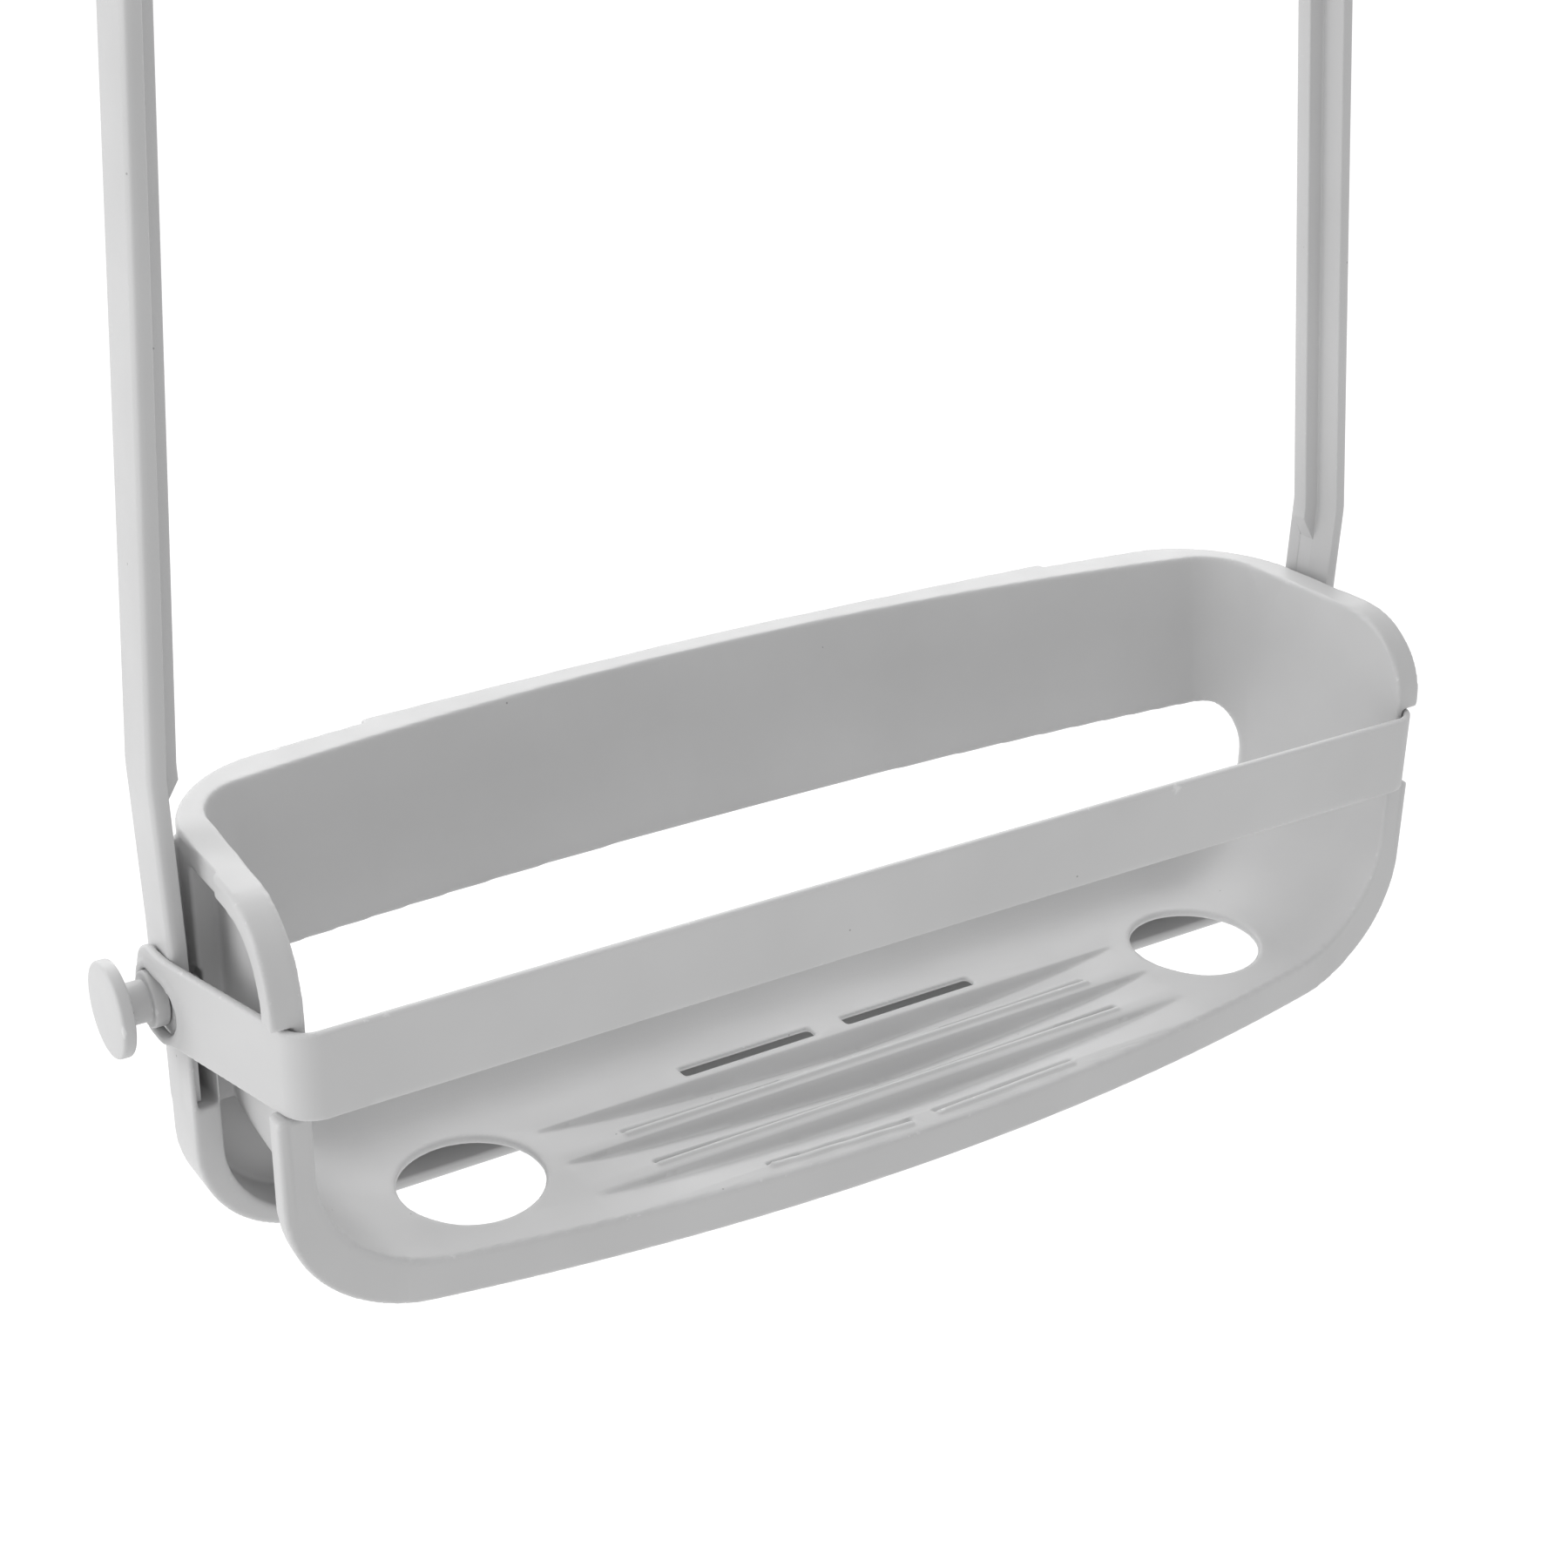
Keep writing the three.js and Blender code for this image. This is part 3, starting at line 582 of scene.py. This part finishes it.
def arm_path():
    """Outer face of the right arm from the socket up to the neck: (x, z, the rib's share of its height)."""
    slope = RIB_OUT - ARM_THICK + 1.5
    upper_out = ARM_OUT - UPPER_INSET
    shoulder = UPPER_FLOOR + ARM_BEND
    under_tray = UPPER_FLOOR - 18.0

    def straight(z):
        if z < ARM_BEND:
            return ARM_OUT + ARM_SPREAD * max(z - SPREAD_START, 0) / (ARM_BEND - SPREAD_START)
        widest = ARM_OUT + ARM_SPREAD
        return widest + (upper_out - widest) * (z - ARM_BEND) / (UPPER_BEND - ARM_BEND)

    stations = [(ARM_OUT, SOCKET_TOP + GAP, 0), (ARM_OUT, 61.5, 0)]
    below = ((62.5, 0), (RIB_START, 0), (RIB_START + slope, 1), (ARM_BEND - 0.8, 1))
    above = ((ARM_BEND + 0.8, 1), (under_tray - slope, 1), (under_tray, 0), (UPPER_BEND - 0.8, 0))
    for z, rib in below + above:
        stations.append((straight(z), z, rib))
    stations.append((upper_out, UPPER_BEND + 0.8, 0))
    stations.append((upper_out, UPPER_FLOOR + RIB_START, 0))
    stations.append((upper_out, UPPER_FLOOR + RIB_START + slope, 1))
    controls = [
        (upper_out, shoulder),
        (upper_out - 8, shoulder + 95),
        (NECK_HALF, NECK_TOP - NECK_BOW),
        (NECK_HALF, NECK_TOP),
    ]
    for k in range(NECK_STEPS + 1):
        t = k / NECK_STEPS
        weights = ((1 - t) ** 3, 3 * t * (1 - t) ** 2, 3 * t * t * (1 - t), t ** 3)
        x = sum(w * c[0] for w, c in zip(weights, controls))
        z = sum(w * c[1] for w, c in zip(weights, controls))
        stations.append((x, z, 1 if k < RIB_STEPS else 0))
    return stations


def sweep(stations, sections, mirror):
    """Points and faces of a ribbon, with one face across each of its two ends."""
    points = []
    faces = []
    count = len(sections[0])
    for i, (x, z, _) in enumerate(stations):
        x0, z0, _ = stations[max(i - 1, 0)]
        x1, z1, _ = stations[min(i + 1, len(stations) - 1)]
        along = Vector((x1 - x0, z1 - z0)).normalized()
        for inwards, back in sections[i]:
            px = x - along.y * inwards
            points.append((px * mirror, ARM_FRONT + back + lean_at(z), z + along.x * inwards))
    for i in range(len(stations) - 1):
        for j in range(count):
            a = i * count + j
            b = i * count + (j + 1) % count
            faces.append((a, b, b + count, a + count))
    faces.append(tuple(reversed(range(count))))
    last = (len(stations) - 1) * count
    faces.append(tuple(range(last, last + count)))
    return points, faces


def polygon_object(name, points, faces, centre, crease=180):
    """An object from millimetre points and faces of any size, with its normals outwards."""
    bm = bmesh.new()
    verts = [bm.verts.new(Vector(p) * MM + centre) for p in points]
    for face in faces:
        bm.faces.new([verts[i] for i in face])
    bmesh.ops.recalc_face_normals(bm, faces=bm.faces)
    mesh = bpy.data.meshes.new(name)
    bm.to_mesh(mesh)
    bm.free()
    mesh.shade_smooth()
    mesh.set_sharp_from_angle(angle=math.radians(crease))
    obj = bpy.data.objects.new(name, mesh)
    bpy.context.scene.collection.objects.link(obj)
    return obj


def make_arm(side_name, mirror):
    stations = arm_path()
    sections = [arm_section(rib) for _, _, rib in stations]
    points, faces = sweep(stations, sections, mirror)
    corners = [
        (TONGUE_INNER, TONGUE_FRONT),
        (ARM_REAR, TONGUE_FRONT),
        (ARM_REAR, TONGUE_BACK),
        (TONGUE_INNER, TONGUE_BACK),
    ]
    tongue = rounded_outline(corners, 0.4)
    tongue_stations = [(ARM_OUT, TONGUE_LOW, 0), (ARM_OUT, SOCKET_TOP + 2, 0)]
    more_points, more_faces = sweep(tongue_stations, [tongue, tongue], mirror)
    shift = len(points)
    points += more_points
    faces += [tuple(i + shift for i in face) for face in more_faces]
    return polygon_object(f"{side_name}_arm_ribbon", points, faces, LOWER, crease=16)


# ---- knobs ----
DISC_RADIUS = 10.2
DISC_TOP = 11.8
DISC_THICK = 3.0
SHAFT_RADIUS = 4.4
COLLAR_RADIUS = 6.0
COLLAR_TOP = 3.5
SHANK_RADIUS = 3.0
BARB_RADIUS = 3.6
KNOB_SEGMENTS = 72


def knob_profile():
    """[radius, outwards] down a knob: disc, shaft, collar and shank, with eased corners, then the barb."""
    outline = [
        (DISC_RADIUS, DISC_TOP), (DISC_RADIUS, DISC_TOP - DISC_THICK),
        (SHAFT_RADIUS, DISC_TOP - DISC_THICK), (SHAFT_RADIUS, COLLAR_TOP),
        (COLLAR_RADIUS, COLLAR_TOP), (COLLAR_RADIUS, GAP), (SHANK_RADIUS, GAP),
    ]
    radii = [0.9, 0.9, 0.5, 0.4, 0.7, 0.4, 0.2]
    profile = [(0.0, DISC_TOP + 0.05), (6.0, DISC_TOP + 0.02)]
    count = len(outline)
    for i, corner in enumerate(outline):
        here = Vector(corner)
        before = (Vector(outline[i - 1]) if i else Vector((0, DISC_TOP))) - here
        after = (Vector(outline[i + 1]) if i + 1 < count else Vector((SHANK_RADIUS, -8))) - here
        start = here + before.normalized() * radii[i]
        end = here + after.normalized() * radii[i]
        for k in range(6):
            t = k / 5
            p = (1 - t) ** 2 * start + 2 * t * (1 - t) * here + t * t * end
            profile.append((p.x, p.y))
    tip = -ARM_REAR
    barb = [(BARB_RADIUS, tip - 0.8), (BARB_RADIUS, tip - 1.1), (2.2, tip - 2.9), (0.0, tip - 3.0)]
    return profile + [(SHANK_RADIUS, tip - 0.5)] + barb


def make_knob(level, side_name, side, inset, centre):
    """A knob turned about its own axis, which runs outwards from the arm."""
    points = []
    faces = []
    rings = []
    for radius, out in knob_profile():
        x = side * (ARM_OUT - inset + out)
        if radius == 0:
            rings.append([len(points)] * KNOB_SEGMENTS)
            points.append((x, KNOB_Y, KNOB_HEIGHT))
            continue
        rings.append(list(range(len(points), len(points) + KNOB_SEGMENTS)))
        for k in range(KNOB_SEGMENTS):
            turn = 2 * math.pi * k / KNOB_SEGMENTS
            points.append((x, KNOB_Y + radius * math.cos(turn), KNOB_HEIGHT + radius * math.sin(turn)))
    for one, two in zip(rings, rings[1:]):
        for k in range(KNOB_SEGMENTS):
            after = (k + 1) % KNOB_SEGMENTS
            corners = [one[k], one[after], two[after], two[k]]
            faces.append(tuple(dict.fromkeys(corners)))
    return polygon_object(f"{level}_{side_name}_stud", points, faces, centre)


# ---- materials ----
def new_material(name):
    material = bpy.data.materials.new(name)
    material.use_nodes = True
    nodes = material.node_tree.nodes
    links = material.node_tree.links
    shader = nodes["Principled BSDF"]
    return material, nodes, links, shader


def noise(nodes, links, coordinates, scale, detail=2.0, roughness=0.5):
    node = nodes.new("ShaderNodeTexNoise")
    node.inputs["Scale"].default_value = scale
    node.inputs["Detail"].default_value = detail
    node.inputs["Roughness"].default_value = roughness
    links.new(coordinates, node.inputs["Vector"])
    return node.outputs["Fac"]


def ramp(nodes, links, value, stops):
    node = nodes.new("ShaderNodeValToRGB")
    links.new(value, node.inputs["Fac"])
    node.color_ramp.elements[0].position = stops[0][0]
    node.color_ramp.elements[0].color = (*stops[0][1], 1)
    node.color_ramp.elements[1].position = stops[1][0]
    node.color_ramp.elements[1].color = (*stops[1][1], 1)
    return node.outputs["Color"]


def mix(nodes, links, share, a, b, blend="MIX"):
    node = nodes.new("ShaderNodeMix")
    node.data_type = "RGBA"
    node.blend_type = blend
    values = ((node.inputs["Factor"], share), (node.inputs["A"], a), (node.inputs["B"], b))
    for socket, value in values:
        if isinstance(value, bpy.types.NodeSocket):
            links.new(value, socket)
        elif isinstance(value, tuple):
            socket.default_value = (*value, 1)
        else:
            socket.default_value = value
    return [o for o in node.outputs if o.type == "RGBA"][0]


def plastic(name, colour, roughness, grain, grain_depth):
    """Moulded plastic: faint clouding, a fine spark-eroded grain, a painted highlight along the pointy edges
    with paler scuffed spots in it, and rare specks.
    """
    material, nodes, links, shader = new_material(name)
    place = nodes.new("ShaderNodeTexCoord").outputs["Object"]
    cloud = noise(nodes, links, place, 22, 3)
    darker = tuple(0.965 * c for c in colour)
    paler = tuple(min(1, 1.03 * c) for c in colour)
    base = ramp(nodes, links, cloud, [(0.3, darker), (0.7, paler)])
    # painted highlight: pointy edges get a paler colour that stands in for the light catching them
    geometry = nodes.new("ShaderNodeNewGeometry")
    edge = ramp(nodes, links, geometry.outputs["Pointiness"], [(0.52, (0, 0, 0)), (0.6, (1, 1, 1))])
    edge_highlight = tuple(min(1, 1.2 * c) for c in colour)
    base = mix(nodes, links, edge, base, edge_highlight)
    # scuff spots, kept to the pointy edges by the painted highlight mask and made paler still: partly wear,
    # partly painted highlight
    scuffs_and_edge_highlight = noise(nodes, links, place, 420, 2, 0.7)
    scuffs_and_edge_highlight = ramp(nodes, links, scuffs_and_edge_highlight, [(0.66, (0, 0, 0)), (0.7, (1, 1, 1))])
    scuffs_and_edge_highlight = mix(nodes, links, 1.0, scuffs_and_edge_highlight, edge, "MULTIPLY")
    base = mix(nodes, links, scuffs_and_edge_highlight, base, tuple(min(1, 1.5 * c) for c in colour))
    cells = nodes.new("ShaderNodeTexVoronoi")
    cells.inputs["Scale"].default_value = 95
    links.new(place, cells.inputs["Vector"])
    near = ramp(nodes, links, cells.outputs["Distance"], [(0.018, (1, 1, 1)), (0.028, (0, 0, 0))])
    base = mix(nodes, links, near, base, tuple(0.55 * c for c in colour))
    links.new(base, shader.inputs["Base Color"])
    smudge = noise(nodes, links, place, 60, 4, 0.6)
    rough = ramp(nodes, links, smudge, [(0.3, (roughness - 0.06,) * 3), (0.75, (roughness + 0.08,) * 3)])
    links.new(rough, shader.inputs["Roughness"])
    fine = noise(nodes, links, place, grain, 2, 0.6)
    bump = nodes.new("ShaderNodeBump")
    bump.inputs["Strength"].default_value = 0.35
    bump.inputs["Distance"].default_value = grain_depth
    links.new(fine, bump.inputs["Height"])
    links.new(bump.outputs["Normal"], shader.inputs["Normal"])
    shader.inputs["Specular IOR Level"].default_value = 0.42
    return material


# ---- stage, light and camera ----
FLOOR_HALF = 6.0
FLOOR_DROP = 0.55
WORLD_STRENGTH = 0.56
CAMERA_LENS = 60.83
CAMERA_PLACE = (-301.9, -428.0, 319.3)
CAMERA_TURN = -33.12
CAMERA_DOWN = 25.69
CAMERA_ROLL = 1.01
# each lamp's name, its place from the middle of the lower tray, its two sizes and its watts
LAMPS = [
    ("key", (-1.95, 0.4, 0.7), (1.6, 1.6), 18),
    ("top", (0.3, 0.1, 2.0), (1.8, 1.8), 10),
    ("back", (0.6, 1.8, 1.25), (2.6, 1.8), 36),
]


def make_stage():
    floor = bpy.data.meshes.new("floor")
    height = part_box("lower_tray")[0].z - FLOOR_DROP
    corners = [(-1, -1), (1, -1), (1, 1), (-1, 1)]
    places = [(FLOOR_HALF * x, FLOOR_HALF * y, height) for x, y in corners]
    floor.from_pydata(places, [], [(0, 1, 2, 3)])
    obj = bpy.data.objects.new("floor", floor)
    bpy.context.scene.collection.objects.link(obj)
    material, nodes, links, shader = new_material("floor_paper")
    place = nodes.new("ShaderNodeTexCoord").outputs["Object"]
    base = ramp(nodes, links, noise(nodes, links, place, 3), [(0.3, (0.98,) * 3), (0.7, (1.0,) * 3)])
    shader.inputs["Base Color"].default_value = (0.1, 0.1, 0.1, 1)
    split = nodes.new("ShaderNodeSeparateXYZ")
    links.new(place, split.inputs["Vector"])
    near_side = ramp(nodes, links, split.outputs["Y"], [(0.0, (0.85,) * 3), (0.18, (1.0,) * 3)])
    base = mix(nodes, links, 1.0, base, near_side, "MULTIPLY")
    links.new(base, shader.inputs["Emission Color"])
    shader.inputs["Emission Strength"].default_value = 1.0
    shader.inputs["Roughness"].default_value = 0.9
    floor.materials.append(material)


def area_light(name, place, target, size, power):
    data = bpy.data.lights.new(name, "AREA")
    data.shape = "RECTANGLE"
    data.size, data.size_y = size
    data.energy = power
    lamp = bpy.data.objects.new(name, data)
    bpy.context.scene.collection.objects.link(lamp)
    lamp.location = place
    lamp.rotation_mode = "QUATERNION"
    lamp.rotation_quaternion = (Vector(target) - Vector(place)).to_track_quat("-Z", "Y")
    return lamp


def make_light():
    world = bpy.data.worlds.new("studio")
    world.use_nodes = True
    background = world.node_tree.nodes["Background"]
    background.inputs["Color"].default_value = (1, 1, 1, 1)
    background.inputs["Strength"].default_value = WORLD_STRENGTH
    bpy.context.scene.world = world
    middle = LOWER + Vector((0, 0, 0.04))
    for name, away, size, power in LAMPS:
        area_light(name, middle + Vector(away), middle, size, power)


def make_camera():
    data = bpy.data.cameras.new("camera")
    data.sensor_width = 36
    data.lens = CAMERA_LENS
    camera = bpy.data.objects.new("camera", data)
    bpy.context.scene.collection.objects.link(camera)
    turn = Matrix.Rotation(math.radians(CAMERA_TURN), 4, "Z")
    tilt = Matrix.Rotation(math.radians(90 - CAMERA_DOWN), 4, "X")
    roll = Matrix.Rotation(math.radians(CAMERA_ROLL), 4, "Z")
    place = LOWER + Vector(CAMERA_PLACE) * MM
    camera.matrix_world = Matrix.Translation(place) @ turn @ tilt @ roll
    bpy.context.scene.camera = camera


# ---- the whole object ----
def finish_piece(obj, body, slot, material, *nodes):
    obj.data.materials.clear()
    obj.data.materials.append(material)
    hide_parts(*nodes)
    if body:
        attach(obj, body)
    return obj


GREY = (0.575, 0.575, 0.577)
KNOB_GREY = (0.59, 0.59, 0.592)
BAND_GREY = (0.605, 0.605, 0.607)
GRIP_GREY = (0.55, 0.55, 0.55)
tray_plastic = plastic("tray_plastic", GREY, 0.46, 2600, 0.00004)
arm_plastic = plastic("arm_plastic", GREY, 0.42, 2600, 0.00004)
knob_plastic = plastic("knob_plastic", KNOB_GREY, 0.5, 2200, 0.00005)
band_rubber = plastic("band_elastomer", BAND_GREY, 0.6, 1700, 0.00007)
grip_rubber = plastic("grip_gel", GRIP_GREY, 0.65, 1500, 0.00008)

make_camera()
make_stage()
make_light()

LEVELS = [("lower", 0.0, LOWER, True), ("upper", UPPER_INSET, UPPER, False)]
for level, inset, centre, arms_end_here in LEVELS:
    tray = make_tray(level, inset, centre, arms_end_here)
    finish_piece(tray, "frame", "tray_plastic", tray_plastic, f"{level}_tray")
    strip = make_band(level, inset, centre)
    finish_piece(strip, None, "band_elastomer", band_rubber, f"{level}_band")
    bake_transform(strip)
    for side_name, side in (("left", -1), ("right", 1)):
        knob = make_knob(level, side_name, side, inset, centre)
        finish_piece(knob, "frame", "knob_plastic", knob_plastic, f"{level}_{side_name}_knob")

for side_name, mirror in (("left", -1), ("right", 1)):
    arm = make_arm(side_name, mirror)
    finish_piece(arm, "frame", "arm_plastic", arm_plastic, f"{side_name}_arm")

ring_grid = Grid((0, -9, -68), (25, 9, 25), 0.5, mirrored=True)
ring_values = hanger_distance(ring_grid.x, ring_grid.y, ring_grid.z)
hanger = moulded("hanger_ring", ring_grid, ring_values, Vector(), 0.3)
finish_piece(hanger, "frame", "arm_plastic", arm_plastic, "hanger_hook")
grip_grid = Grid((0, -10, -19), (20, 10, 19), 0.4, mirrored=True)
grip_values = grip_distance(grip_grid.x, grip_grid.y, grip_grid.z)
grip = moulded("grip_lining", grip_grid, grip_values, Vector(), 0.4)
finish_piece(grip, "frame", "grip_gel", grip_rubber, "hook_grip")

bpy.context.scene.view_settings.view_transform = "Standard"
